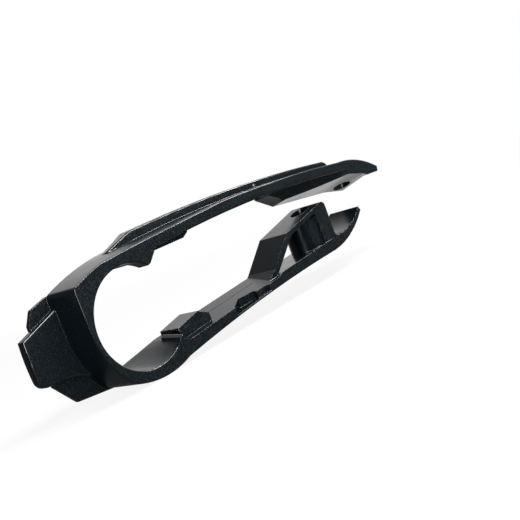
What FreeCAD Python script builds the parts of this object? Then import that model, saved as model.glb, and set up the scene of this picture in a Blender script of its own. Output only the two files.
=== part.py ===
import FreeCAD, Part
import math
import os
import Sketcher

# A swing-arm chain guide, moulded as one piece. It wraps the front of the swing arm like a hairpin:
# the chain rubs on the rib of the upper leg, and the lower leg carries a hollow screw tower.
# The origin lies on the axis of the bend, which is the swing arm's pivot, halfway across the moulding.
# X runs rearward along the legs, Y goes from the outer face to the inner one, and Z is up.

DIMENSIONS = {
    # hairpin
    "arch_radius": 26.0,
    "width": 24.0,
    "front_wall": 3.4,
    "bottom_wall": 5.9,
    "ceiling_angle": 67.4,
    "hook_angle": -46.3,
    # nose
    "nose_drop": 1.2,
    "nose_round": 2.8,
    "nose_bow": 130.0,
    "flat_front": 4.0,
    "heel_reach": 17.8,
    "heel_rise": 4.4,
    "heel_round": 8.0,
    "sole_bow": 51.0,
    # upper leg
    "deck_start": 4.0,
    "deck_rise": 7.2,
    "deck_bow": 1000.0,
    "tail_reach": 221.3,
    "tail_run": 37.3,
    "shoulder_rise": 3.6,
    "tail_drop": 8.4,
    "tail_bow": 66.0,
    "tip_thickness": 3.4,
    "tip_rake": 0.8,
    "tip_length": 12.3,
    "tail_step_drop": 11.2,
    "flank_run": 17.6,
    "flank_drop": 3.1,
    "belly_bow": 900.0,
    "notch_reach": 24.5,
    "notch_rise": 1.2,
    # lower leg
    "hook_foot": 24.7,
    "hook_foot_rise": 3.7,
    "knee_reach": 99.0,
    "knee_depth": 15.8,
    "floor_run": 4.0,
    "floor_depth": 14.2,
    "valley_gap": 2.4,
    "valley_depth": 10.6,
    "scoop_bow": 42.0,
    "lip_run": 29.5,
    "lip_depth": 0.6,
    "lip_rake": 1.4,
    "lip_thickness": 2.6,
    "keel_bow": 60.0,
    "keel_reach": 149.5,
    "keel_depth": 18.2,
    "leg_bow": 1112.0,
    "leg_start": 20.0,
    "leg_start_rise": 2.6,
    # tooth and inner tab at the mouth of the bend
    "tooth_depth": 8.0,
    "tooth_angle": 52.0,
    "tooth_back_reach": 17.9,
    "tooth_back_drop": 5.0,
    "tab_thickness": 3.0,
    "tab_drop": 1.8,
    "tab_reach": 65.9,
    "tab_rake": 4.2,
    "tab_end_rise": 0.4,
    # sloped ledge beside the rib
    "ledge_front": 14.0,
    "ledge_low": 12.0,
    "ledge_rear": 90.0,
    "ledge_front_drop": 2.8,
    "ledge_drop": 1.0,
    "ledge_cant": 2.6,
    "ledge_rear_rise": 2.8,
    # rib that the chain rubs on
    "rib_offset": 1.0,
    "rib_width": 9.0,
    "ramp_end": 21.0,
    "rib_rise": 13.1,
    "rib_bow": 1070.0,
    "rib_setback": 2.5,
    "rib_rear_rise": 7.4,
    "rib_nose": 6.0,
    # cambered inner face of the lower leg
    "cradle_angle": -117.5,
    "cradle_land": 0.3,
    "cradle_turn": 20.0,
    "cradle_sink": 1.6,
    "camber": 4.3,
    "knee_camber": 3.4,
    # ramp block and locating bars
    "block_front": 23.6,
    "block_front_depth": 15.2,
    "block_ramp": 16.2,
    "block_crest_depth": 12.0,
    "block_back": 5.4,
    "block_rear_depth": 15.2,
    "block_inset": 4.5,
    "block_width": 16.5,
    "block_ridge_depth": 17.8,
    "block_ridge_rise": 2.2,
    "block_chamfer": 1.6,
    "bar_thickness": 2.2,
    "bar_height": 1.5,
    "bar_length": 15.0,
    "short_bar_inset": 6.0,
    "short_bar_length": 8.0,
    "short_bar_gap": 3.0,
    # front fin and inner flange
    "fin_inset": 20.4,
    "fin_thickness": 4.6,
    "fin_reach": 51.4,
    "fin_top": 18.1,
    "fin_top_front": 10.4,
    "fin_bow": 120.0,
    "fin_corner": 5.0,
    "fin_low": 14.3,
    "fin_root_low": 23.0,
    "fin_root_reach": 17.5,
    "fin_low_bow": 40.0,
    "fin_root_turn": 146.0,
    "fin_foot_turn": 222.0,
    "flange_thickness": 3.0,
    "flange_reach": 43.4,
    "ear_reach": 39.4,
    "ear_top": 21.9,
    "ear_low": 15.4,
    "flange_low": 15.1,
    "flange_toe_reach": 34.0,
    "flange_toe": 27.0,
    "flange_end_reach": 10.8,
    "flange_root_turn": 140.0,
    "flange_foot_turn": 250.0,
    # screw tower on the lower leg
    "tower_setback": 0.5,
    "tower_foot_depth": 11.8,
    "tower_front_run": 19.5,
    "tower_bend_rise": 4.0,
    "tower_top_run": 35.6,
    "tower_top_rise": 12.2,
    "tower_corner": 3.0,
    "tower_heel": 4.0,
    "tower_inset": 2.6,
    "tower_wall": 2.8,
    "tower_front_wall": 5.8,
    "tower_post": 10.7,
    "post_radius": 10.0,
    "post_lead": 5.0,
    "tower_bore_inset": 10.1,
    # seat under the rear of the upper leg
    "seat_front": 127.0,
    "seat_toe_run": 13.0,
    "seat_lead": 1.4,
    "seat_inset": 12.0,
    "seat_top_rise": 5.0,
    "seat_toe_drop": 2.9,
    "seat_toe_cant": 4.2,
    "seat_middle_drop": 5.6,
    "seat_middle_cant": 6.8,
    "seat_rear_drop": 10.5,
    "seat_rear_cant": 6.2,
    "seat_bore_inset": 9.0,
    "seat_bore_offset": 4.3,
    "screw_bore": 12.0,
    # recess in the outer face of the lower leg
    "recess_clearance": 9.4,
    "recess_front_run": 10.8,
    "recess_depth": 7.5,
    "recess_rear_run": 9.8,
    "recess_rear_depth": 4.7,
    "recess_edge": 0.75,
    "notch_length": 6.4,
    "notch_depth": 2.0,
    "notch_edge": 0.2,
    "notch_runout": 3.0,
    "recess_sill": 3.0,
    # rounding of the edges
    "edge_round": 0.8,
    "fin_edge_round": 1.4,
    "rib_edge_round": 1.0,
    # allowance by which added stock is sunk into what carries it
    "overlap": 1.2,
}


class Size:
    """A length that knows its value and the sheet expression that gives it."""

    def __init__(self, value, text):
        self.value = value
        self.text = text

    def joined(self, sign, other, value):
        return Size(value, f"({self.text} {sign} {other.text})")

    def __add__(self, other):
        return self.joined("+", other, self.value + other.value)

    def __sub__(self, other):
        return self.joined("-", other, self.value - other.value)

    def __mul__(self, other):
        return self.joined("*", other, self.value * other.value)

    def __truediv__(self, other):
        return self.joined("/", other, self.value / other.value)

    def __neg__(self):
        return Size(-self.value, f"(-1 * {self.text})")


def size(name):
    return Size(DIMENSIONS[name], f"Dimensions.{name}")


def on_circle(radius, angle):
    """Point of a circle round the bend's axis, at an angle in degrees from the rearward direction."""
    turn = math.radians(angle.value)
    across = Size(radius.value * math.cos(turn), f"({radius.text} * cos({angle.text} * 1 deg))")
    height = Size(radius.value * math.sin(turn), f"({radius.text} * sin({angle.text} * 1 deg))")
    return across, height


document = FreeCAD.newDocument("chain_guide")
sheet = document.addObject("Spreadsheet::Sheet", "Dimensions")
for row, (alias, value) in enumerate(DIMENSIONS.items(), start=1):
    sheet.set(f"A{row}", alias)
    sheet.set(f"B{row}", str(value))
    sheet.setAlias(f"B{row}", alias)
document.recompute()

body = document.addObject("PartDesign::Body", "chain_guide")
body.Label = "chain_guide"
body.AllowCompound = True
planes = {plane.Role: plane for plane in body.Origin.OriginFeatures}


def sketch_on(role, offset, name):
    sketch = body.newObject("Sketcher::SketchObject", name)
    sketch.AttachmentSupport = (planes[role], "")
    sketch.MapMode = "FlatFace"
    sketch.setExpression("AttachmentOffset.Base.z", offset.text)
    return sketch


def hold(sketch, kind, places, length):
    """Dimension in a sketch that follows the sheet."""
    constraint = sketch.addConstraint(Sketcher.Constraint(kind, *places, length.value))
    sketch.setExpression(f"Constraints[{constraint}]", length.text)


def arc_between(start, end, radius):
    """Arc of less than half a turn; a positive radius bulges to the left of the way from start to end."""
    chord = end - start
    left = FreeCAD.Vector(-chord.y, chord.x, 0).normalize()
    sagitta_side = -1 if radius > 0 else 1
    rise = math.sqrt(radius ** 2 - (chord.Length / 2) ** 2)
    centre = (start + end) * 0.5 + left * (sagitta_side * rise)
    first, last = (end, start) if radius > 0 else (start, end)
    angles = [math.atan2(point.y - centre.y, point.x - centre.x) for point in (first, last)]
    circle = Part.Circle(centre, FreeCAD.Vector(0, 0, 1), abs(radius))
    return Part.ArcOfCircle(circle, *angles)


def add_outline(sketch, corners):
    """Closed outline. A corner is (across, up), and a third value is the radius of the arc after it."""
    start_point, end_point = 1, 2
    ends = []
    for corner, follower in zip(corners, corners[1:] + corners[:1]):
        start = FreeCAD.Vector(corner[0].value, corner[1].value, 0)
        end = FreeCAD.Vector(follower[0].value, follower[1].value, 0)
        if len(corner) == 2:
            edge = sketch.addGeometry(Part.LineSegment(start, end), False)
            ends.append((edge, start_point, end_point))
            continue
        radius = corner[2]
        edge = sketch.addGeometry(arc_between(start, end, radius.value), False)
        backward = radius.value > 0
        ends.append((edge, end_point, start_point) if backward else (edge, start_point, end_point))
        hold(sketch, "Radius", (edge,), radius if backward else -radius)
    for (edge, first, last), (follower, follower_first, follower_last) in zip(ends, ends[1:] + ends[:1]):
        sketch.addConstraint(Sketcher.Constraint("Coincident", edge, last, follower, follower_first))
    for (edge, first, last), corner in zip(ends, corners):
        hold(sketch, "DistanceX", (-1, 1, edge, first), corner[0])
        hold(sketch, "DistanceY", (-1, 1, edge, first), corner[1])


def slab(name, kind, near_side, far_side, *outlines):
    """Stock added or cut between two places across the part, from outlines in side view."""
    sketch = sketch_on("XZ_Plane", -near_side, f"{name}_outline")
    for corners in outlines:
        add_outline(sketch, corners)
    feature = body.newObject(kind, name)
    feature.Profile = sketch
    feature.setExpression("Length", (far_side - near_side).text)
    feature.Reversed = kind == "PartDesign::Pad"
    return feature


def loft(name, kind, *sections):
    """Stock added or cut through cross-sections, each at its place along the part."""
    sketches = []
    for place, (station, corners) in enumerate(sections, start=1):
        sketch = sketch_on("YZ_Plane", station, f"{name}_section_{place}")
        add_outline(sketch, corners)
        sketches.append(sketch)
    feature = body.newObject(kind, name)
    feature.Profile = sketches[0]
    feature.Sections = sketches[1:]
    feature.Ruled = True
    return feature


def round_edges(name, radius, wanted):
    """Round the edges of the moulding so far that are wanted."""
    document.recompute()
    carrier = body.Tip
    edges = enumerate(carrier.Shape.Edges, start=1)
    chosen = [f"Edge{place}" for place, edge in edges if wanted(edge)]
    feature = body.newObject("PartDesign::Fillet", name)
    feature.Base = (carrier, chosen)
    feature.setExpression("Radius", radius.text)
    return feature


def stands_at(point, corner):
    return math.hypot(point.x - corner[0].value, point.z - corner[1].value) < 0.001


def across_at(edge, corner):
    """Whether an edge runs straight across the part at a corner of a side view."""
    return all(stands_at(vertex.Point, corner) for vertex in edge.Vertexes)


def leaves_corner(edge, side, corners):
    """Whether an edge lies on one side of the part and ends at one of the corners of its outline."""
    reach = edge.BoundBox
    flat = abs(reach.YMin - side.value) < 0.001 and abs(reach.YMax - side.value) < 0.001
    return flat and any(stands_at(vertex.Point, corner) for vertex in edge.Vertexes for corner in corners)


def upright(name, centre_x, centre_y, radius, low, high):
    """Round bore that stands upright between two heights."""
    sketch = sketch_on("XY_Plane", low, f"{name}_outline")
    centre = FreeCAD.Vector(centre_x.value, centre_y.value, 0)
    circle = sketch.addGeometry(Part.Circle(centre, FreeCAD.Vector(0, 0, 1), radius.value), False)
    hold(sketch, "Radius", (circle,), radius)
    hold(sketch, "DistanceX", (-1, 1, circle, 3), centre_x)
    hold(sketch, "DistanceY", (-1, 1, circle, 3), centre_y)
    bore = body.newObject("PartDesign::Pocket", name)
    bore.Profile = sketch
    bore.setExpression("Length", (high - low).text)
    bore.Reversed = True


one = Size(1.0, "1")
two = Size(2.0, "2")
straight_angle = Size(180.0, "180")
arch = size("arch_radius")
overlap = size("overlap")
far = size("width") / two
near = -far
middle = (near + far) / two
front = -(arch + size("front_wall"))
bottom = -(arch + size("bottom_wall"))
deck = arch + size("deck_rise")
shoulder = arch + size("shoulder_rise")
belly = arch + size("notch_rise")
ceiling = on_circle(arch, size("ceiling_angle"))
hook = on_circle(arch, size("hook_angle"))
leg_near = -arch + size("hook_foot_rise")
shoulder_reach = size("tail_reach") - size("tail_run")
tail_step = size("tail_reach") - size("tip_length")
flank_end = tail_step - size("flank_run")
tower_foot = size("knee_reach") + size("tower_setback")
tower_bend = tower_foot + size("tower_front_run")
tower_top = tower_bend + size("tower_top_run")
tower_rear = tower_top + size("tower_corner")
floor_start = size("knee_reach") + size("floor_run")
valley = tower_rear + size("valley_gap")
lip_end = valley + size("lip_run")
chin_top = (front, size("flat_front"))
sole_rear = (size("leg_start"), bottom + size("leg_start_rise"))
keel = (size("keel_reach"), -size("keel_depth"))
lip_low = (lip_end, -size("lip_depth") - size("lip_thickness"))
deck_rear = (shoulder_reach, shoulder)
tail_high = (size("tail_reach"), arch - size("tail_drop"))
tail_low = (size("tail_reach") - size("tip_rake"), tail_high[1] - size("tip_thickness"))
notch = (size("notch_reach"), belly)
tooth_back = (size("tooth_back_reach"), arch - size("tooth_back_drop"))
ledge_dip = (size("ledge_low"), deck - size("ledge_drop"))
tooth_tip = on_circle(arch, size("tooth_angle"))
bend_front = on_circle(arch, straight_angle)
nose_corner = (front, arch - size("nose_drop"))
fin_near = near + size("fin_inset")
fin_tip = (-size("fin_reach"), size("fin_top_front"))
fin_chin = (-size("fin_reach"), -size("fin_low"))
ear_tip = (-size("ear_reach"), size("ear_top"))
ear_root = (-size("flange_reach"), size("ear_low"))
flange_chin = (-size("flange_reach"), -size("flange_low"))
flange_toe = (-size("flange_toe_reach"), -size("flange_toe"))
flange_far = far + size("flange_thickness")
rib_near = -size("rib_offset")
rib_far = rib_near + size("rib_width")
ramp_top = (size("ramp_end"), arch + size("rib_rise"))
rib_rear = (shoulder_reach - size("rib_setback"), arch + size("rib_rear_rise"))


def hairpin():
    """Both legs and the bend between them, as one profile across the whole width."""
    heel = bottom + size("heel_rise")
    chin_run = -front - size("heel_reach")
    chin_rise = size("flat_front") - heel
    chin_bow = (chin_run * chin_run + chin_rise * chin_rise) / (two * chin_run)
    slab(
        "hairpin", "PartDesign::Pad", near, far,
        [
            (*nose_corner, size("nose_bow")),
            (size("deck_start"), deck, size("deck_bow")),
            (*deck_rear, size("tail_bow")),
            tail_high,
            tail_low,
            (tail_step, arch - size("tail_step_drop")),
            (flank_end, arch - size("flank_drop"), -size("belly_bow")),
            notch,
            (*ceiling, -arch),
            (*bend_front, -arch),
            hook,
            (size("hook_foot"), leg_near),
            (size("knee_reach"), -size("knee_depth")),
            (floor_start, -size("floor_depth")),
            (valley, -size("valley_depth"), -size("scoop_bow")),
            (lip_end - size("lip_rake"), -size("lip_depth")),
            (*lip_low, size("keel_bow")),
            (*keel, -size("leg_bow")),
            (*sole_rear, size("sole_bow")),
            (-size("heel_reach"), heel, chin_bow),
            chin_top,
        ],
    )
    round_edges("nose_edge", size("nose_round"), lambda edge: across_at(edge, nose_corner))
    round_edges("heel_edge", size("heel_round"), lambda edge: across_at(edge, (-size("heel_reach"), heel)))


def mouth():
    """Tooth on the outer side and tab on the inner side, where the bend opens into the upper leg."""
    sunk = belly + overlap
    slab(
        "tooth", "PartDesign::Pad", near, near + size("tooth_depth"),
        [
            notch,
            tooth_back,
            (*tooth_tip, -arch),
            ceiling,
            (ceiling[0], sunk),
            (size("notch_reach"), sunk),
        ],
    )
    tab_low = arch - size("tab_drop")
    tab_high = belly + overlap
    slab(
        "tab", "PartDesign::Pad", far - size("tab_thickness"), far,
        [
            (ceiling[0] + overlap, tab_high),
            (ceiling[0] + overlap, tab_low),
            (size("tab_reach") - size("tab_rake"), tab_low),
            (size("tab_reach"), arch + size("tab_end_rise")),
            (size("tab_reach"), tab_high + overlap),
        ],
    )


def ledge():
    """Top of the upper leg that falls from the rib to the outer edge, most of all near the nose."""
    outside = near - overlap
    inside = rib_near + overlap
    above = deck + size("rib_rise")

    def section(station, height, cant):
        low = height - cant * overlap / (inside - near)
        return station, [(outside, low), (inside, height + cant), (inside, above), (outside, above)]

    loft(
        "ledge", "PartDesign::SubtractiveLoft",
        section(-size("ledge_front"), deck - size("ledge_front_drop"), size("ledge_cant") / two),
        section(*ledge_dip, size("ledge_cant")),
        section(size("ledge_rear"), deck + size("ledge_rear_rise"), size("ledge_cant") / two),
    )


def rib():
    """Raised rib that the chain rubs on, with a ramp in front and a round end at the rear."""
    slab(
        "rib", "PartDesign::Pad", rib_near, rib_far,
        [
            (size("deck_start"), deck - overlap),
            (*ramp_top, size("rib_bow")),
            (*rib_rear, size("rib_nose")),
            (rib_rear[0] + size("rib_nose"), shoulder - overlap - overlap, -size("deck_bow")),
        ],
    )


def camber():
    """Inner face of the lower leg, which rises from the outer to the inner side."""
    start = size("cradle_turn")
    end = size("knee_reach")
    end_height = -size("knee_depth")
    slab(
        "camber_stock", "PartDesign::Pad", near, far,
        [
            (start, leg_near - overlap),
            (end, end_height - overlap),
            (end, end_height + size("knee_camber") + overlap),
            (start, leg_near + size("camber") + overlap),
        ],
    )

    def section(station, height, rise):
        spare = rise * overlap / size("width")
        above = height + rise + overlap + overlap
        return station, [
            (near - overlap, height - spare),
            (far + overlap, height + rise + spare),
            (far + overlap, above),
            (near - overlap, above),
        ]

    loft(
        "camber", "PartDesign::SubtractiveLoft",
        section(start - overlap, leg_near, size("camber")),
        section(end + overlap, end_height, size("knee_camber")),
    )


def cradle():
    """Bottom of the bend, round at the outer side and a straight ramp to the lower leg at the inner side."""
    reach = size("cradle_turn")
    sunk = leg_near - overlap
    deep = bottom + overlap + overlap
    radius = arch + size("cradle_land")
    round_start = on_circle(radius, size("cradle_angle"))
    round_end = on_circle(radius, size("hook_angle"))
    outer_side = [(*round_start, -radius), round_end, (round_end[0], sunk), (round_start[0], deep)]
    inner_side = [
        (round_start[0], -arch - size("cradle_sink") + size("camber")),
        (reach, leg_near + size("camber")),
        (reach, sunk),
        (round_start[0], deep),
    ]
    sections = []
    for place, offset, corners in (("outer", near, outer_side), ("inner", far, inner_side)):
        sketch = sketch_on("XZ_Plane", -offset, f"cradle_{place}")
        add_outline(sketch, corners)
        sections.append(sketch)
    feature = body.newObject("PartDesign::AdditiveLoft", "cradle")
    feature.Profile = sections[0]
    feature.Sections = sections[1:]
    feature.Ruled = True


def ramp_block():
    """Ramp block behind the hook with its outer top edge bevelled, and the two bars in front of it."""
    block_near = near + size("block_inset")
    start = size("block_front")
    crest = start + size("block_ramp")
    end = crest + size("block_back")
    sunk = leg_near - overlap
    slab(
        "ramp_block", "PartDesign::Pad", block_near, block_near + size("block_width"),
        [
            (start, sunk),
            (start, -size("block_front_depth")),
            (crest, -size("block_crest_depth")),
            (end, -size("block_rear_depth")),
            (end, sunk),
        ],
    )

    def bevel(station, low, high):
        outside = block_near - overlap
        spare = (high - low) * overlap / size("block_chamfer")
        above = -size("block_crest_depth") + overlap
        inside = block_near + size("block_chamfer")
        return station, [(outside, low - spare), (inside, high), (inside, above), (outside, above)]

    ridge = -size("block_ridge_depth")
    loft(
        "block_bevel", "PartDesign::SubtractiveLoft",
        bevel(start - overlap, ridge, -size("block_front_depth") - overlap / two),
        bevel(end + overlap, ridge + size("block_ridge_rise"), -size("block_crest_depth") + overlap / two),
    )
    thickness = size("bar_thickness")
    cant = size("camber") / size("width")

    def bar(name, place, start, length):
        sketch = sketch_on("YZ_Plane", place, f"{name}_outline")
        bar_top = hook[1] + size("bar_height") + (start - near) * cant
        end = start + length
        end_top = bar_top + length * cant
        add_outline(sketch, [(start, sunk), (end, sunk), (end, end_top), (start, bar_top)])
        feature = body.newObject("PartDesign::Pad", name)
        feature.Profile = sketch
        feature.setExpression("Length", thickness.text)

    bar("hook_bar", hook[0], near, size("bar_length"))
    short_place = hook[0] + thickness + size("short_bar_gap")
    bar("short_bar", short_place, near + size("short_bar_inset"), size("short_bar_length"))


def front_fin():
    """Fin that reaches forward from the inner side of the nose, on a flange with an ear and a toe."""
    root = arch + overlap
    root_high = on_circle(root, size("fin_root_turn"))
    root_low = on_circle(root, size("fin_foot_turn"))
    slab(
        "front_fin", "PartDesign::Pad", fin_near, fin_near + size("fin_thickness"),
        [
            (front, size("fin_top")),
            (*fin_tip, -size("fin_bow")),
            (*fin_chin, size("fin_low_bow")),
            (-size("fin_root_reach"), -size("fin_root_low")),
            (*root_low, root),
            root_high,
        ],
    )
    round_edges("fin_corner", size("fin_corner"), lambda edge: across_at(edge, fin_chin))
    round_edges("fin_edges", size("fin_edge_round"), lambda edge: leaves_corner(edge, fin_near, (fin_tip,)))
    flange_root_high = on_circle(arch, size("flange_root_turn"))
    flange_root_low = on_circle(arch, size("flange_foot_turn"))
    slab(
        "flange", "PartDesign::Pad", far, flange_far,
        [
            (flange_root_high[0], nose_corner[1]),
            nose_corner,
            ear_tip,
            ear_root,
            flange_chin,
            flange_toe,
            (-size("flange_end_reach"), bottom + size("front_wall") - overlap),
            (*flange_root_low, arch),
            (*bend_front, arch),
            flange_root_high,
        ],
    )


def screw_tower():
    """Hollow tower with a sloped front and top, open on both sides in front of a post for the screw."""
    foot_height = -size("tower_foot_depth")
    bend_height = size("tower_bend_rise")
    wall = size("tower_wall")
    slope = (size("tower_top_rise") - bend_height) / size("tower_top_run")
    lean = size("tower_front_run") / (bend_height - foot_height)
    window_turn = tower_bend + (size("tower_front_wall") - lean * wall) / (one - lean * slope)
    window_rear = tower_rear - size("tower_post")
    sunk = -size("floor_depth") - overlap
    rear_sunk = -size("valley_depth") - overlap

    def under_top(place):
        return bend_height + (place - tower_bend) * slope - wall

    slab(
        "screw_tower", "PartDesign::Pad", near, far,
        [
            (tower_foot, -size("knee_depth") - overlap),
            (tower_foot, foot_height),
            (tower_bend, bend_height),
            (tower_top, size("tower_top_rise"), size("tower_corner")),
            (tower_rear, size("tower_top_rise") - size("tower_corner")),
            (tower_rear, size("tower_heel") - size("valley_depth"), -size("tower_heel")),
            (tower_rear + size("tower_heel"), -size("valley_depth") - overlap / two),
            (tower_rear + size("tower_heel"), rear_sunk),
        ],
        [
            (tower_foot + size("tower_front_wall") + (sunk - foot_height) * lean, sunk),
            (window_rear, rear_sunk),
            (window_rear, under_top(window_rear)),
            (window_turn, under_top(window_turn)),
        ],
    )
    side = sketch_on("XY_Plane", sunk - overlap - overlap, "tower_side_outline")
    outside = near - overlap
    add_outline(
        side,
        [
            (size("knee_reach"), outside),
            (tower_rear, outside),
            (tower_rear, near),
            (tower_foot, near + size("tower_inset")),
        ],
    )
    cut = body.newObject("PartDesign::Pocket", "tower_side")
    cut.Profile = side
    cut.setExpression("Length", (size("tower_top_rise") - sunk + overlap + overlap + overlap).text)
    cut.Reversed = True
    post = sketch_on("XY_Plane", sunk, "screw_post_outline")
    centre = tower_rear - size("tower_bore_inset") - size("post_lead")
    radius = size("post_radius")
    add_outline(
        post,
        [
            (centre, -radius),
            (window_rear + overlap, -radius),
            (window_rear + overlap, radius),
            (centre, radius, -radius),
            (centre - radius, middle, -radius),
        ],
    )
    pillar = body.newObject("PartDesign::Pad", "screw_post")
    pillar.Profile = post
    pillar.setExpression("Length", (under_top(centre - radius) + wall / two - sunk).text)


def seat():
    """Block under the rear of the upper leg that sits on the swing arm, canted to its top."""
    front_end = size("seat_front")
    toe = front_end + size("seat_toe_run")
    broad = flank_end - size("seat_lead")
    high = arch + size("seat_top_rise")
    low = arch - size("seat_rear_drop") - size("seat_rear_cant") - overlap
    slab(
        "seat", "PartDesign::Pad", near, far,
        [
            (front_end, low),
            (tail_step, low),
            (tail_step, arch - size("tail_drop") + overlap),
            (broad, arch - overlap),
            (toe, high),
            (front_end, high),
        ],
    )

    def section(station, drop, cant):
        spare = cant * overlap / size("width")
        height = arch - drop
        return station, [
            (near - overlap, height + spare),
            (far + overlap, height - cant - spare),
            (far + overlap, low - overlap),
            (near - overlap, low - overlap),
        ]

    loft(
        "seat_underside", "PartDesign::SubtractiveLoft",
        section(front_end - overlap, -size("notch_rise") - overlap, overlap),
        section(toe, size("seat_toe_drop"), size("seat_toe_cant")),
        section(broad, size("seat_middle_drop"), size("seat_middle_cant")),
        section(tail_step + overlap, size("seat_rear_drop"), size("seat_rear_cant")),
    )
    inset = near + size("seat_inset")
    sketch = sketch_on("XY_Plane", low - overlap, "seat_side_outline")
    add_outline(
        sketch,
        [
            (front_end - overlap, near - overlap),
            (broad, near - overlap),
            (broad, near),
            (toe, inset),
            (front_end - overlap, inset),
        ],
    )
    side = body.newObject("PartDesign::Pocket", "seat_side")
    side.Profile = sketch
    side.setExpression("Length", (high - low + overlap + overlap).text)
    side.Reversed = True


def recess():
    """Recess in the outer face of the lower leg, deepest in the middle, with a shallow notch behind it."""
    drop = size("keel_depth") + bottom + size("leg_start_rise")
    slope = drop / (size("keel_reach") - size("leg_start"))

    def section(station, depth):
        sill = -size("keel_depth") + (size("keel_reach") - station) * slope + size("recess_sill")
        above = -size("block_crest_depth") + overlap
        outside = near - overlap
        inside = near + depth
        return station, [(outside, sill), (inside, sill), (inside, above), (outside, above)]

    runout_end = size("knee_reach") - size("recess_clearance")
    notch_end = runout_end - size("notch_runout")
    rear = notch_end - size("notch_length")
    deepest = rear - size("recess_rear_run")
    loft(
        "recess", "PartDesign::SubtractiveLoft",
        section(deepest - size("recess_front_run"), size("recess_edge")),
        section(deepest, size("recess_depth")),
        section(rear, size("recess_rear_depth")),
    )
    loft(
        "notch", "PartDesign::SubtractiveLoft",
        section(rear - overlap, size("notch_depth")),
        section(notch_end, size("notch_depth")),
        section(runout_end, size("notch_edge")),
    )


def screw_bores():
    """Bores for the two screws, through the tower's post and through the seat."""
    radius = size("screw_bore") / two
    tower_place = tower_rear - size("tower_bore_inset")
    seat_place = tail_step - size("seat_bore_inset")
    upright("tower_bore", tower_place, middle, radius, bottom, size("tower_top_rise") + overlap)
    upright("seat_bore", seat_place, size("seat_bore_offset"), radius, middle, deck)


def rounded_edges():
    """Rounded edges of the outer face, the keel, the rib and the flange."""
    outside = (chin_top, sole_rear, keel, lip_low, deck_rear, tail_high, tail_low, ledge_dip)
    inside = (notch, tooth_back, tooth_tip, bend_front)
    rib_top = (ramp_top, rib_rear)
    flange_rim = (nose_corner, ear_tip, ear_root, flange_chin, flange_toe)
    edge_round = size("edge_round")
    round_edges("outer_edges", edge_round, lambda edge: leaves_corner(edge, near, outside + inside))
    round_edges("keel_edges", edge_round, lambda edge: leaves_corner(edge, far, (keel, lip_low)))
    round_edges("rib_edges", size("rib_edge_round"), lambda edge: leaves_corner(edge, rib_near, rib_top))
    round_edges("rib_far_edges", size("rib_edge_round"), lambda edge: leaves_corner(edge, rib_far, rib_top))
    round_edges("flange_edges", edge_round, lambda edge: leaves_corner(edge, flange_far, flange_rim))


camber()
cradle()
seat()
screw_tower()
hairpin()
mouth()
ledge()
rib()
ramp_block()
front_fin()
recess()
screw_bores()
rounded_edges()
document.recompute()

for thing in document.Objects:
    if "Invalid" in thing.State or "Error" in thing.State:
        raise RuntimeError(f"{thing.Name} failed: {thing.getStatusString()}")
if body.Shape.isNull() or not body.Shape.isValid():
    raise RuntimeError("the moulding is not a valid solid")
if len(body.Shape.Solids) != 1:
    raise RuntimeError("the moulding is not one solid")

os.makedirs("parts", exist_ok=True)
body.Shape.exportStep(f"parts/{body.Label}.step")
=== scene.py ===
import bmesh
import bpy
from bpy.props import FloatProperty, FloatVectorProperty, PointerProperty
from mathutils import Matrix, Vector


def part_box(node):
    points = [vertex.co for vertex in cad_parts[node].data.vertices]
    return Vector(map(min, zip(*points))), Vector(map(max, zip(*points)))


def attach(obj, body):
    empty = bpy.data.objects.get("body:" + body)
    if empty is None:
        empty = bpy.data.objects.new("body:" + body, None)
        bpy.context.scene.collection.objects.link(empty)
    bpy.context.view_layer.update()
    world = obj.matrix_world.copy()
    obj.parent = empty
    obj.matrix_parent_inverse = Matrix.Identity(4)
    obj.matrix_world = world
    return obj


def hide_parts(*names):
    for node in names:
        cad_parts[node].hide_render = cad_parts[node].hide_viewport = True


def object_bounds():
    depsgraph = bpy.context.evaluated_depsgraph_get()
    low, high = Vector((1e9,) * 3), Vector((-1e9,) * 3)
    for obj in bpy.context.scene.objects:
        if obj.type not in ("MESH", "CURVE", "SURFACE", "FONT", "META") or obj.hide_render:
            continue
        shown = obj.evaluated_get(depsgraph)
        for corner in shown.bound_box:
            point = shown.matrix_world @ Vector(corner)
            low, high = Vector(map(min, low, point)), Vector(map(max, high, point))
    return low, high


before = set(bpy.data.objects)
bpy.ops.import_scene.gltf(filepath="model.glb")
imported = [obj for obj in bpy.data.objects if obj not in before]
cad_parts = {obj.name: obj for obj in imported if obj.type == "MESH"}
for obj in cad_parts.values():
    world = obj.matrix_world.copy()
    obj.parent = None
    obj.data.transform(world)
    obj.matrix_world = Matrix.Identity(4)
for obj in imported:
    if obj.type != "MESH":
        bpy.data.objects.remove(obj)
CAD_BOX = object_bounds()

bl_info = {
    "name": "Moulded Chain Guide",
    "version": (1, 0, 0),
    "blender": (4, 5, 0),
    "location": "View3D > Sidebar > Chain Guide",
    "description": "Finishes a moulded swing-arm chain guide and sets it on a pale studio floor",
    "category": "Object",
}

MM = 0.001
SOCKET_PREFIX = "socket_"
SLIM_FACE = "slim_face"
WHITE = "ffffff"
# colour of the painted glint of light on the nick in the rib
NICK_GLINT_COLOUR = "b4bcbe"

# surface of the moulding, in mm: points this close are one, and faces this slim round off an edge
MERGE_DISTANCE = 0.002
SLIM_WIDTH = 1.2

# creases: angles between two faces in radians, and the width in mm that the slimmer face needs
STEP_ANGLE = 0.18
GENTLE_ANGLE = 0.46
SHARP_ANGLE = 0.9
GENTLE_FACE_WIDTH = 2.2
STEEP_FACE_WIDTH = 0.9

# ramp block behind the hook, in mm
BLOCK_FRONT = 22.0
BLOCK_REAR = 48.0
BLOCK_TOP = -8.0

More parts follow.
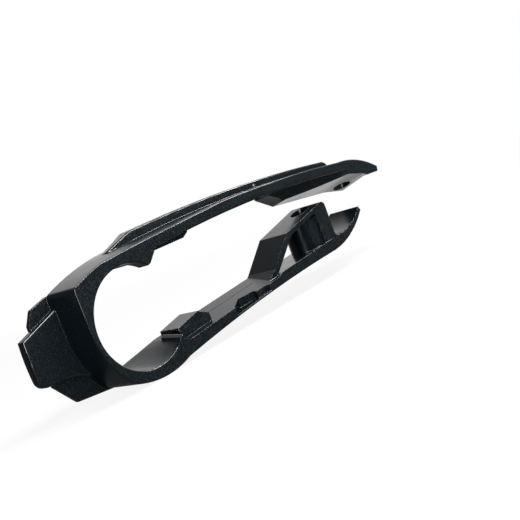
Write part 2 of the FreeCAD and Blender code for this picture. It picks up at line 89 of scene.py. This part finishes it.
# bar at the hook, in mm: where its top is, and how far that comes down
OUTER_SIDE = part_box("chain_guide")[0].y / MM
HOOK_BAR_FRONT = 17.9
HOOK_BAR_EDGE = 18.6
HOOK_BAR_REAR = 20.4
HOOK_BAR_END = 3.1
HOOK_BAR_FOOT = -17.6
HOOK_BAR_TOP = -14.2
HOOK_BAR_LENGTH = 15.0
HOOK_BAR_DROP = 0.4
HOOK_BAR_END_DROP = 1.1
HOOK_BAR_EDGE_DROP = 1.0

# wedges that fill out the moulding, in mm: each Y with the points of an outline in XZ
TOWER_TOE_OUTLINE = ((91.5, -17.0), (100.7, -17.0), (100.7, -11.8), (99.5, -11.8))
TOWER_TOE = (
    (-9.4, TOWER_TOE_OUTLINE),
    (12.0, TOWER_TOE_OUTLINE),
)
RIB_TOE = (
    (-1.03, ((2.5, 31.0), (3.8, 33.1), (20.5, 38.4), (21.5, 31.0))),
    (-0.3, ((3.6, 33.8), (20.3, 39.1))),
    (6.0, ((2.0, 31.0), (2.6, 32.5), (20.0, 38.7), (21.5, 31.0))),
)

# finish of the plastic: shares of the full effect, roughness, and Y of the normal on round edges
SATIN_GRAIN = 0.12
# share of the painted sparkle on the high spots of the grain
SPECK_SHARE = 0.8
FACE_GLOSS = 0.3
EDGE_GLOSS = 1.0
CLOUD_ROUGHNESS = 0.05
WITNESS_ROUGHNESS = 0.95
NYLON_IOR = 1.53
ROUND_EDGE_TURN = -0.74
ROUND_EDGE_SPREAD = 0.19

# painted glint of light on a nick in the rib, and witness line on the lower leg, in mm
NICK_GLINT_PLACE = (117.1, -1.0, 36.1)
NICK_GLINT_REACH = 0.9
NICK_GLINT_CORE = 0.5
WITNESS_MIDDLE = 68.5
WITNESS_HALF_LENGTH = 23.5
WITNESS_OFFSET = 2.5
WITNESS_TOP = -10.0

# stage, in metres: headings point away from the part, and reaches are measured along the floor
STAGE_CENTRE = (0.085, 0.0, 0.0)
BACKDROP_HEADING = (0.8, 0.5, 0.33)
SHADOW_REACH = 0.2
FADED_REACH = 0.6
SHADOW_WHITENESS = 0.88
# painted pool of light on the floor behind the tail, and painted shade on the floor under the part, both
# seen only in reflections
POOL_PLACE = (0.23, 0.1, 0.0)
POOL_CORE = 0.05
POOL_REACH = 0.2
PART_REACH = 0.1
CLEAR_REACH = 0.25
SWEEP_UNDER_PART = 0.05
STRIP_BOX = {"heading": (0.36, -0.36, 0.86), "distance": 0.8, "length": 0.9, "width": 0.16}
FILL_BOX = {"heading": (-0.73, -0.6, 0.32), "distance": 0.6, "length": 0.7, "width": 0.15}

# camera: place in metres, directions of its own axes, and lens and sensor in mm
CAMERA_PLACE = (-0.2590, -0.3560, 0.0544)
CAMERA_RIGHT = (0.6287, -0.6944, -0.3501)
CAMERA_UP = (0.3243, -0.1750, 0.9296)
CAMERA_BACK = (-0.7068, -0.6980, 0.1152)
CAMERA_LENS = 62.3
CAMERA_SENSOR = 36.0
CAMERA_NEAREST = 0.01


def linear(hex_colour):
    """Linear red, green and blue of an sRGB hex colour."""
    shares = [int(hex_colour[place:place + 2], 16) / 255 for place in (0, 2, 4)]
    return [share / 12.92 if share <= 0.04045 else ((share + 0.055) / 1.055) ** 2.4 for share in shares]


def add_node(tree, kind, links=None, **settings):
    """Add a node, with settings for its fields or sockets and links into its sockets.

    A socket that shares its name with another one goes by its number, as in socket_1.
    """
    node = tree.nodes.new(kind)
    for name, value in settings.items():
        if name.startswith(SOCKET_PREFIX):
            node.inputs[int(name.removeprefix(SOCKET_PREFIX))].default_value = value
        elif hasattr(node, name):
            setattr(node, name, value)
        else:
            node.inputs[name.replace("_", " ")].default_value = value
    for name, source in (links or {}).items():
        tree.links.new(source, node.inputs[name])
    return node


class ChainGuideMoulding(bpy.types.PropertyGroup):
    """Colours and finish of the moulded plastic"""

    plastic_colour: FloatVectorProperty(
        name="Plastic Colour",
        description="Colour of the nylon, black with a cool cast",
        subtype="COLOR",
        default=linear("070f14"),
        min=0.0,
        max=1.0,
    )
    # painted sparkle: a pale colour on the high spots of the grain on the outer side, standing in for their
    # glints of light, not wear from handling
    painted_sparkle_colour: FloatVectorProperty(
        name="Painted Sparkle Colour",
        description="Colour of the high spots of the grain, where handling has rubbed them",
        subtype="COLOR",
        default=linear("33434a"),
        min=0.0,
        max=1.0,
    )
    # real spark-eroded grain is too fine to show, so it is drawn as coarse as it needs
    grain_size: FloatProperty(
        name="Grain Size",
        description="Width of the grain that the spark-eroded side of the mould leaves",
        unit="LENGTH",
        default=0.7 * MM,
    )
    grain_depth: FloatProperty(
        name="Grain Depth",
        description="Height of that grain",
        unit="LENGTH",
        default=0.08 * MM,
    )
    grain_roughness: FloatProperty(
        name="Grain Roughness",
        description="Roughness of the grained outer side",
        subtype="FACTOR",
        default=0.48,
        min=0.0,
        max=1.0,
    )
    satin_roughness: FloatProperty(
        name="Satin Roughness",
        description="Roughness of the smoother inner and upper faces",
        subtype="FACTOR",
        default=0.2,
        min=0.0,
        max=1.0,
    )
    edge_roughness: FloatProperty(
        name="Edge Roughness",
        description="Roughness of the outer edges, which handling has burnished",
        subtype="FACTOR",
        default=0.18,
        min=0.0,
        max=1.0,
    )
    flow_size: FloatProperty(
        name="Flow Mark Size",
        description="Width of the soft cloudiness where the plastic flowed into the mould",
        unit="LENGTH",
        default=14 * MM,
    )
    edge_round: FloatProperty(
        name="Edge Round",
        description="Radius that the light sees on the edges that the mould leaves crisp",
        unit="LENGTH",
        default=0.55 * MM,
    )
    # a real witness line is too fine to show, so it is drawn as wide as it needs
    witness_width: FloatProperty(
        name="Witness Line Width",
        description="Width of the line that the split of the mould leaves along the lower leg",
        unit="LENGTH",
        default=0.5 * MM,
    )


class ChainGuideStage(bpy.types.PropertyGroup):
    """Floor, softboxes and backdrop round the part"""

    floor_colour: FloatVectorProperty(
        name="Floor Colour",
        description="Colour of the studio floor",
        subtype="COLOR",
        default=linear("f2f2f2"),
        min=0.0,
        max=1.0,
    )
    floor_size: FloatProperty(
        name="Floor Size",
        description="Side of the square floor",
        unit="LENGTH",
        default=6.0,
    )
    strip_power: FloatProperty(
        name="Strip Power",
        description="Power of the strip softbox over the part",
        unit="POWER",
        default=8.0,
    )
    fill_power: FloatProperty(
        name="Fill Power",
        description="Power of the fill softbox beside the camera",
        unit="POWER",
        default=2.5,
    )
    room_level: FloatProperty(
        name="Room Level",
        description="Brightness of the dim room in front of the part",
        default=0.1,
    )
    backdrop_level: FloatProperty(
        name="Backdrop Level",
        description="Brightness of the backdrop behind the part",
        default=1.0,
    )


def burnished_edge(tree, rounded, facing):
    """Share of burnish, on crisp edges, which the light sees rounded, and on slim faces turned outwards."""
    surface = add_node(tree, "ShaderNodeNewGeometry")
    flatness = add_node(
        tree, "ShaderNodeVectorMath", {0: rounded.outputs["Normal"], 1: surface.outputs["Normal"]},
        operation="DOT_PRODUCT",
    )
    crisp_edge = add_node(
        tree, "ShaderNodeMapRange", {"Value": flatness.outputs["Value"]},
        From_Min=0.99, From_Max=0.93, To_Min=0.0, To_Max=1.0,
    )
    turned = add_node(
        tree, "ShaderNodeMath", {0: facing.outputs["Y"]},
        operation="COMPARE", socket_1=ROUND_EDGE_TURN, socket_2=ROUND_EDGE_SPREAD,
    )
    slim = add_node(tree, "ShaderNodeAttribute", attribute_name=SLIM_FACE)
    round_edge = add_node(
        tree, "ShaderNodeMath", {0: turned.outputs["Value"], 1: slim.outputs["Fac"]},
        operation="MULTIPLY",
    )
    return add_node(
        tree, "ShaderNodeMath", {0: crisp_edge.outputs["Result"], 1: round_edge.outputs["Value"]},
        operation="MAXIMUM",
    )


def specked_colour(tree, place, grain, outer_side, settings):
    """Black with pale specks on the high spots of the grain, a painted sparkle, and a painted glint of
    light on a nick in the rib.
    """
    speck = add_node(
        tree, "ShaderNodeMapRange", {"Value": grain.outputs["Fac"]},
        From_Min=0.52, From_Max=0.7, To_Min=0.0, To_Max=SPECK_SHARE,
    )
    # painted highlight: the pale specks stand in for the sparkle of the grain
    speck_here = add_node(
        tree, "ShaderNodeMath", {0: speck.outputs["Result"], 1: outer_side.outputs["Result"]},
        operation="MULTIPLY",
    )
    grained = add_node(
        tree, "ShaderNodeMix", {0: speck_here.outputs["Value"]}, data_type="RGBA",
        socket_6=(*settings.plastic_colour, 1.0), socket_7=(*settings.painted_sparkle_colour, 1.0),
    )
    # painted highlight: a pale spot where a nick in the rib catches the light
    from_nick_glint = add_node(
        tree, "ShaderNodeVectorMath", {0: place.outputs["Object"]},
        operation="DISTANCE", socket_1=Vector(NICK_GLINT_PLACE) * MM,
    )
    nick_glint = add_node(
        tree, "ShaderNodeMapRange", {"Value": from_nick_glint.outputs["Value"]},
        From_Min=NICK_GLINT_REACH * MM, From_Max=NICK_GLINT_CORE * MM, To_Min=0.0, To_Max=1.0,
    )
    return add_node(
        tree, "ShaderNodeMix", {0: nick_glint.outputs["Result"], 6: grained.outputs[2]}, data_type="RGBA",
        socket_7=(*linear(NICK_GLINT_COLOUR), 1.0),
    )


def witness_line(tree, place, settings):
    """Line along the inner face of the lower leg, where the mould splits."""
    spot = add_node(tree, "ShaderNodeSeparateXYZ", {"Vector": place.outputs["Object"]})
    along = add_node(
        tree, "ShaderNodeMath", {0: spot.outputs["X"]},
        operation="COMPARE", socket_1=WITNESS_MIDDLE * MM, socket_2=WITNESS_HALF_LENGTH * MM,
    )
    across = add_node(
        tree, "ShaderNodeMath", {0: spot.outputs["Y"]},
        operation="COMPARE", socket_1=WITNESS_OFFSET * MM, socket_2=settings.witness_width / 2,
    )
    below = add_node(
        tree, "ShaderNodeMath", {0: spot.outputs["Z"]},
        operation="LESS_THAN", socket_1=WITNESS_TOP * MM,
    )
    split = add_node(
        tree, "ShaderNodeMath", {0: along.outputs["Value"], 1: across.outputs["Value"]},
        operation="MULTIPLY",
    )
    return add_node(
        tree, "ShaderNodeMath", {0: split.outputs["Value"], 1: below.outputs["Value"]},
        operation="MULTIPLY",
    )


def black_nylon(settings):
    """Injection-moulded black nylon: grained where the mould was spark-eroded, satin where it was stoned.

    The grain breaks the reflection up into a dull black, with pale specks painted on its high spots as a
    painted sparkle. The satin faces mirror the bright backdrop as a soft grey, most of all at a low angle,
    and the edges catch a thin line.
    """
    material = bpy.data.materials.new("injection_moulded_black_nylon")
    material.use_nodes = True
    tree = material.node_tree
    tree.nodes.clear()
    place = add_node(tree, "ShaderNodeTexCoord")
    rounded = add_node(tree, "ShaderNodeBevel", Radius=settings.edge_round, samples=8)
    facing = add_node(tree, "ShaderNodeSeparateXYZ", {"Vector": rounded.outputs["Normal"]})
    outer_side = add_node(
        tree, "ShaderNodeMapRange", {"Value": facing.outputs["Y"]},
        From_Min=-0.9, From_Max=-0.98, To_Min=0.0, To_Max=1.0,
    )
    edge = burnished_edge(tree, rounded, facing)
    grain = add_node(
        tree, "ShaderNodeTexNoise", {"Vector": place.outputs["Object"]},
        Scale=1.0 / settings.grain_size, Detail=2.0, Roughness=0.6,
    )
    flow = add_node(
        tree, "ShaderNodeTexNoise", {"Vector": place.outputs["Object"]},
        Scale=1.0 / settings.flow_size, Detail=3.0, Roughness=0.55,
    )
    finish = add_node(
        tree, "ShaderNodeMapRange", {"Value": outer_side.outputs["Result"]},
        To_Min=settings.satin_roughness, To_Max=settings.grain_roughness,
    )
    cloud = add_node(
        tree, "ShaderNodeMapRange", {"Value": flow.outputs["Fac"]},
        From_Min=0.3, From_Max=0.7, To_Min=-CLOUD_ROUGHNESS, To_Max=CLOUD_ROUGHNESS,
    )
    clouded = add_node(
        tree, "ShaderNodeMath", {0: finish.outputs["Result"], 1: cloud.outputs["Result"]},
        operation="ADD",
    )
    roughness = add_node(
        tree, "ShaderNodeMapRange",
        {"Value": edge.outputs["Value"], "To Min": clouded.outputs["Value"]},
        To_Max=settings.edge_roughness,
    )
    witness = witness_line(tree, place, settings)
    dulled = add_node(
        tree, "ShaderNodeMapRange",
        {"Value": witness.outputs["Value"], "To Min": roughness.outputs["Result"]},
        To_Max=WITNESS_ROUGHNESS,
    )
    gloss = add_node(
        tree, "ShaderNodeMapRange", {"Value": edge.outputs["Value"]},
        To_Min=FACE_GLOSS, To_Max=EDGE_GLOSS,
    )
    colour = specked_colour(tree, place, grain, outer_side, settings)
    bump_here = add_node(
        tree, "ShaderNodeMapRange", {"Value": outer_side.outputs["Result"]},
        To_Min=SATIN_GRAIN, To_Max=1.0,
    )
    bump = add_node(
        tree, "ShaderNodeBump",
        {
            "Height": grain.outputs["Fac"],
            "Strength": bump_here.outputs["Result"],
            "Normal": rounded.outputs["Normal"],
        },
        Distance=settings.grain_depth,
    )
    plastic = add_node(
        tree, "ShaderNodeBsdfPrincipled",
        {
            "Base Color": colour.outputs[2],
            "Roughness": dulled.outputs["Result"],
            "Specular IOR Level": gloss.outputs["Result"],
            "Normal": bump.outputs["Normal"],
        },
        IOR=NYLON_IOR,
    )
    add_node(tree, "ShaderNodeOutputMaterial", {"Surface": plastic.outputs["BSDF"]})
    return material


def backdrop_level(tree, heading, settings):
    """Brightness of the room in a direction: most towards the backdrop, behind and right of the part."""
    towards = add_node(
        tree, "ShaderNodeVectorMath", {0: heading},
        operation="DOT_PRODUCT", socket_1=BACKDROP_HEADING,
    )
    return add_node(
        tree, "ShaderNodeMapRange", {"Value": towards.outputs["Value"]},
        interpolation_type="SMOOTHSTEP", From_Min=0.5, From_Max=0.97,
        To_Min=settings.room_level, To_Max=settings.backdrop_level,
    )


def mirrored_floor(tree, place, reach, settings):
    """Brightness painted on the floor, seen only in a mirror: a painted pool of light behind the tail, the
    sweep up to the backdrop, and painted shade under the part.
    """
    pool_reach = add_node(
        tree, "ShaderNodeVectorMath", {0: place.outputs["Object"]},
        operation="DISTANCE", socket_1=POOL_PLACE,
    )
    pool = add_node(
        tree, "ShaderNodeMapRange", {"Value": pool_reach.outputs["Value"]},
        interpolation_type="SMOOTHSTEP", From_Min=POOL_CORE, From_Max=POOL_REACH,
        To_Min=1.0, To_Max=settings.room_level,
    )
    heading = add_node(
        tree, "ShaderNodeVectorMath", {0: place.outputs["Object"]},
        operation="NORMALIZE",
    )
    sweep = backdrop_level(tree, heading.outputs["Vector"], settings)
    # painted shade: near the part the mirrored floor is darkened
    clear_of_part = add_node(
        tree, "ShaderNodeMapRange", {"Value": reach.outputs["Value"]},
        interpolation_type="SMOOTHSTEP", From_Min=PART_REACH, From_Max=CLEAR_REACH,
        To_Min=SWEEP_UNDER_PART, To_Max=1.0,
    )
    swept = add_node(
        tree, "ShaderNodeMath", {0: sweep.outputs["Result"], 1: clear_of_part.outputs["Result"]},
        operation="MULTIPLY",
    )
    return add_node(
        tree, "ShaderNodeMath", {0: pool.outputs["Result"], 1: swept.outputs["Value"]},
        operation="MAXIMUM",
    )


def studio_floor(settings):
    """Matt white paper floor: white to the camera but for a soft shadow, mirrored brightest behind."""
    material = bpy.data.materials.new("matt_white_paper")
    material.use_nodes = True
    tree = material.node_tree
    tree.nodes.clear()
    place = add_node(tree, "ShaderNodeTexCoord")
    reach = add_node(tree, "ShaderNodeVectorMath", {0: place.outputs["Object"]}, operation="LENGTH")
    fade = add_node(
        tree, "ShaderNodeMapRange", {"Value": reach.outputs["Value"]},
        interpolation_type="SMOOTHSTEP", From_Min=SHADOW_REACH, From_Max=FADED_REACH,
        To_Min=SHADOW_WHITENESS, To_Max=1.0,
    )
    mirrored = mirrored_floor(tree, place, reach, settings)
    light_path = add_node(tree, "ShaderNodeLightPath")
    strength = add_node(
        tree, "ShaderNodeMapRange",
        {"Value": light_path.outputs["Is Camera Ray"], "To Min": mirrored.outputs["Value"]},
        To_Max=1.0,
    )
    share = add_node(
        tree, "ShaderNodeMath",
        {
            0: light_path.outputs["Is Camera Ray"],
            1: fade.outputs["Result"],
            2: light_path.outputs["Is Glossy Ray"],
        },
        operation="MULTIPLY_ADD",
    )
    paper = add_node(tree, "ShaderNodeBsdfDiffuse", Color=(*settings.floor_colour, 1.0))
    white = add_node(
        tree, "ShaderNodeEmission", {"Strength": strength.outputs["Result"]},
        Color=(*linear(WHITE), 1.0),
    )
    shown = add_node(
        tree, "ShaderNodeMixShader",
        {0: share.outputs["Value"], 1: paper.outputs["BSDF"], 2: white.outputs["Emission"]},
    )
    add_node(tree, "ShaderNodeOutputMaterial", {"Surface": shown.outputs["Shader"]})
    return material


def studio_room(settings):
    """World with a bright backdrop behind the part and a dim room in front of it, white to the camera."""
    world = bpy.data.worlds.new("studio_room")
    world.use_nodes = True
    tree = world.node_tree
    tree.nodes.clear()
    place = add_node(tree, "ShaderNodeTexCoord")
    level = backdrop_level(tree, place.outputs["Generated"], settings)
    light_path = add_node(tree, "ShaderNodeLightPath")
    strength = add_node(
        tree, "ShaderNodeMapRange",
        {"Value": light_path.outputs["Is Camera Ray"], "To Min": level.outputs["Result"]},
        To_Max=1.0,
    )
    sky = add_node(
        tree, "ShaderNodeBackground", {"Strength": strength.outputs["Result"]},
        Color=(*linear(WHITE), 1.0),
    )
    add_node(tree, "ShaderNodeOutputWorld", {"Surface": sky.outputs["Background"]})
    return world


def width_of(face):
    """Width of a triangle, across its longest side."""
    return 2.0 * face.calc_area() / max(side.calc_length() for side in face.edges)


def on_block(face):
    """Whether a face belongs to the ramp block behind the hook, whose round edges stay satin."""
    x, _, z = face.calc_center_median() / MM
    return BLOCK_FRONT < x < BLOCK_REAR and z < BLOCK_TOP


def crease(edge):
    """Whether an edge is a real crease of the moulding, and not a step along a rounded surface."""
    angle = edge.calc_face_angle(0.0)
    if angle < STEP_ANGLE:
        return False
    if angle >= SHARP_ANGLE:
        return True
    needed = GENTLE_FACE_WIDTH if angle < GENTLE_ANGLE else STEEP_FACE_WIDTH
    return min(width_of(face) for face in edge.link_faces) > needed * MM


def lower_hook_bar(shell):
    """Bring the top of the bar at the hook down to the cradle, most at its inner end and front edge."""
    for vert in shell.verts:
        x, y, z = vert.co / MM
        on_bar = HOOK_BAR_FRONT < x < HOOK_BAR_REAR and y < HOOK_BAR_END
        if on_bar and HOOK_BAR_FOOT < z < HOOK_BAR_TOP:
            drop = HOOK_BAR_DROP + HOOK_BAR_END_DROP * (y - OUTER_SIDE) / HOOK_BAR_LENGTH
            if x < HOOK_BAR_EDGE:
                drop += HOOK_BAR_EDGE_DROP
            vert.co.z -= drop * MM


def add_wedge(shell, sections):
    """Fill out the moulding with a wedge that goes through outlines in XZ, each at its own Y, in mm."""
    corners = [shell.verts.new(Vector((x, y, z)) * MM) for y, outline in sections for x, z in outline]
    hull = bmesh.ops.convex_hull(shell, input=corners)
    faces = [item for item in hull["geom"] if isinstance(item, bmesh.types.BMFace)]
    bmesh.ops.recalc_face_normals(shell, faces=faces)


class CHAIN_GUIDE_OT_moulding(bpy.types.Operator):
    """Finish the moulding: merge its surface, fill out its ramps, set its creases and its plastic"""

    bl_idname = "chain_guide.moulding"
    bl_label = "Finish Moulding"

    def execute(self, context):
        settings = context.scene.chain_guide_moulding
        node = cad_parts["chain_guide"]
        shell = bmesh.new()
        shell.from_mesh(node.data)
        bmesh.ops.remove_doubles(shell, verts=shell.verts, dist=MERGE_DISTANCE * MM)
        lower_hook_bar(shell)
        add_wedge(shell, TOWER_TOE)
        add_wedge(shell, RIB_TOE)
        slim = shell.faces.layers.float.new(SLIM_FACE)
        for face in shell.faces:
            face.smooth = True
            face.material_index = 0
            face[slim] = float(width_of(face) < SLIM_WIDTH * MM and not on_block(face))
        for edge in shell.edges:
            edge.smooth = not crease(edge)
        mesh = bpy.data.meshes.new("guide_moulding")
        shell.to_mesh(mesh)
        shell.free()
        mesh.materials.append(black_nylon(settings))
        moulding = bpy.data.objects.new("guide_moulding", mesh)
        context.scene.collection.objects.link(moulding)
        evened = moulding.modifiers.new("even_shading", "WEIGHTED_NORMAL")
        evened.keep_sharp = True
        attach(moulding, "root")
        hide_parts("chain_guide")
        return {"FINISHED"}


class CHAIN_GUIDE_OT_stage(bpy.types.Operator):
    """Set the part on a pale floor under two softboxes, seen as in the photograph"""

    bl_idname = "chain_guide.stage"
    bl_label = "Set Stage"

    def execute(self, context):
        settings = context.scene.chain_guide_stage
        scene = context.scene
        scene.view_settings.view_transform = "Standard"
        scene.world = studio_room(settings)
        self.floor(context, settings)
        self.softbox(context, "strip", settings.strip_power, **STRIP_BOX)
        self.softbox(context, "fill", settings.fill_power, **FILL_BOX)
        self.camera(context)
        return {"FINISHED"}

    def floor(self, context, settings):
        sheet = bmesh.new()
        bmesh.ops.create_grid(sheet, x_segments=1, y_segments=1, size=settings.floor_size / 2)
        mesh = bpy.data.meshes.new("studio_floor")
        sheet.to_mesh(mesh)
        sheet.free()
        mesh.materials.append(studio_floor(settings))
        floor = bpy.data.objects.new("studio_floor", mesh)
        floor.location = (*STAGE_CENTRE[:2], CAD_BOX[0][2])
        context.scene.collection.objects.link(floor)

    def softbox(self, context, name, power, heading, distance, length, width):
        lamp = bpy.data.lights.new(name, "AREA")
        lamp.shape = "RECTANGLE"
        lamp.size = length
        lamp.size_y = width
        lamp.energy = power
        box = bpy.data.objects.new(name, lamp)
        outward = Vector(heading).normalized()
        across = Vector((outward.z, 0.0, -outward.x)).normalized()
        turn = Matrix((across, outward.cross(across), outward)).transposed()
        place = Vector(STAGE_CENTRE) + distance * outward
        box.matrix_world = Matrix.Translation(place) @ turn.to_4x4()
        context.scene.collection.objects.link(box)

    def camera(self, context):
        lens = bpy.data.cameras.new("studio_camera")
        lens.sensor_width = CAMERA_SENSOR
        lens.lens = CAMERA_LENS
        lens.clip_start = CAMERA_NEAREST
        camera = bpy.data.objects.new("studio_camera", lens)
        turn = Matrix((CAMERA_RIGHT, CAMERA_UP, CAMERA_BACK)).transposed()
        camera.matrix_world = Matrix.Translation(CAMERA_PLACE) @ turn.to_4x4()
        context.scene.collection.objects.link(camera)
        context.scene.camera = camera


class CHAIN_GUIDE_PT_panel(bpy.types.Panel):
    """Sizes and finishes of the chain guide and its stage"""

    bl_idname = "CHAIN_GUIDE_PT_panel"
    bl_label = "Chain Guide"
    bl_space_type = "VIEW_3D"
    bl_region_type = "UI"
    bl_category = "Chain Guide"

    def draw(self, context):
        for group, operator in (
            (context.scene.chain_guide_moulding, "chain_guide.moulding"),
            (context.scene.chain_guide_stage, "chain_guide.stage"),
        ):
            column = self.layout.column(align=True)
            for name in group.__annotations__:
                column.prop(group, name)
            column.operator(operator)


CLASSES = (
    ChainGuideMoulding,
    ChainGuideStage,
    CHAIN_GUIDE_OT_moulding,
    CHAIN_GUIDE_OT_stage,
    CHAIN_GUIDE_PT_panel,
)


def register():
    for entry in CLASSES:
        bpy.utils.register_class(entry)
    bpy.types.Scene.chain_guide_moulding = PointerProperty(type=ChainGuideMoulding)
    bpy.types.Scene.chain_guide_stage = PointerProperty(type=ChainGuideStage)


def unregister():
    del bpy.types.Scene.chain_guide_stage
    del bpy.types.Scene.chain_guide_moulding
    for entry in reversed(CLASSES):
        bpy.utils.unregister_class(entry)


def main():
    register()
    bpy.ops.chain_guide.stage()
    bpy.ops.chain_guide.moulding()


if __name__ == "__main__":
    main()
